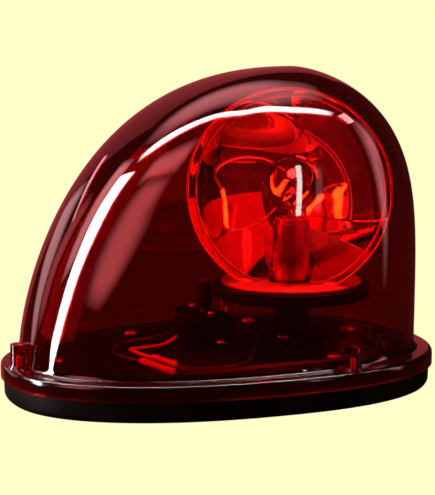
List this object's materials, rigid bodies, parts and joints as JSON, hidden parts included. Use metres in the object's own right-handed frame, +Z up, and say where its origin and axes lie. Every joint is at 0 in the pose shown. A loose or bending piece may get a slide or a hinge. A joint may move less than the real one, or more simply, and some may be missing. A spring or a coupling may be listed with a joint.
{
  "type": "rotating warning beacon",
  "caption": "Teardrop red warning beacon: clear dome over a motor-driven spinning mirror reflector and bayonet lamp, on a flat black base.",
  "frame": {"origin": "centre of the underside, at the middle of the bounding box's bottom face", "axes": "+X from the low nose to the blunt tail, +Y towards the motor's side, +Z up"},
  "size_m": [0.19, 0.1342, 0.1373],
  "materials": {
    "red_lens": "clear deep red polycarbonate, moulded gloss",
    "black_plastic": "black moulded ABS, satin",
    "black_rubber": "black rubber, matte",
    "black_steel": "black painted steel, satin",
    "zinc_steel": "zinc plated steel",
    "chrome": "vacuum metallised mirror",
    "brass": "nickel-free brass, light tarnish",
    "bronze": "sintered bronze, matte",
    "ferrite": "ferrite magnet, matte grey",
    "clear_glass": "clear lamp glass",
    "tungsten": "coiled tungsten wire, warm",
    "solder": "tinned contact",
    "bakelite": "brown phenolic",
    "red_lead": "red wire insulation",
    "black_lead": "black wire insulation"
  },
  "bodies": {
    "root": {"base_pad": "black_rubber", "base_tray": "black_plastic", "cable_grommet": "black_rubber", "dome_screw_1": "zinc_steel", "dome_screw_2": "zinc_steel", "dome_screw_3": "zinc_steel", "magnet_front": "ferrite", "magnet_rear": "ferrite", "magnet_plate_front": "zinc_steel", "magnet_plate_rear": "zinc_steel", "dome": "red_lens", "dome_gasket": "black_rubber", "chassis_plate": "black_steel", "chassis_screw_1": "zinc_steel", "chassis_screw_2": "zinc_steel", "chassis_screw_3": "zinc_steel", "chassis_screw_4": "zinc_steel", "chassis_screw_5": "zinc_steel", "pedestal": "black_plastic", "pedestal_screw_1": "zinc_steel", "pedestal_screw_2": "zinc_steel", "motor_can": "black_steel", "motor_end_cap": "bakelite", "motor_bracket": "black_steel", "motor_screw_1": "zinc_steel", "motor_screw_2": "zinc_steel", "bracket_screw_1": "zinc_steel", "bracket_screw_2": "zinc_steel", "thrust_washer": "zinc_steel", "lamp_socket": "zinc_steel", "socket_insulator": "bakelite", "contact_spring": "zinc_steel", "bulb_cap": "brass", "bulb_contact": "solder", "bulb_glass": "clear_glass", "bulb_stem": "clear_glass", "bulb_filament": "tungsten", "splice_live": "red_lead", "splice_return": "red_lead", "lead_motor_live": "red_lead", "lead_motor_return": "black_lead", "lead_lamp": "black_lead", "lead_supply_live": "black_lead", "lead_supply_return": "black_lead"},
    "rotor": {"turntable": "black_plastic", "turntable_bush": "bronze", "reflector": "chrome", "reflector_screw_1": "zinc_steel", "reflector_screw_2": "zinc_steel"},
    "motor_rotor": {"motor_shaft": "zinc_steel", "drive_roller": "black_rubber"},
    "plunger": {"contact_plunger": "brass"}
  },
  "joints": [
    {"name": "rotor_spin", "type": "hinge", "parent": "root", "child": "rotor", "pos_m": [0.036, 0, 0.04], "axis": [0, 0, 1], "continuous": true},
    {"name": "motor_spin", "type": "hinge", "parent": "root", "child": "motor_rotor", "pos_m": [0.00095, 0.01687, 0.03], "axis": [0, 0, 1], "continuous": true},
    {"name": "plunger_press", "type": "slide", "parent": "root", "child": "plunger", "axis": [0, 0, -1], "range_m": [0, 0.001], "deforming": ["contact_spring"]}
  ],
  "couplings": [
    {"joint": "motor_spin", "follows": "rotor_spin", "ratio": -8.65}
  ]
}
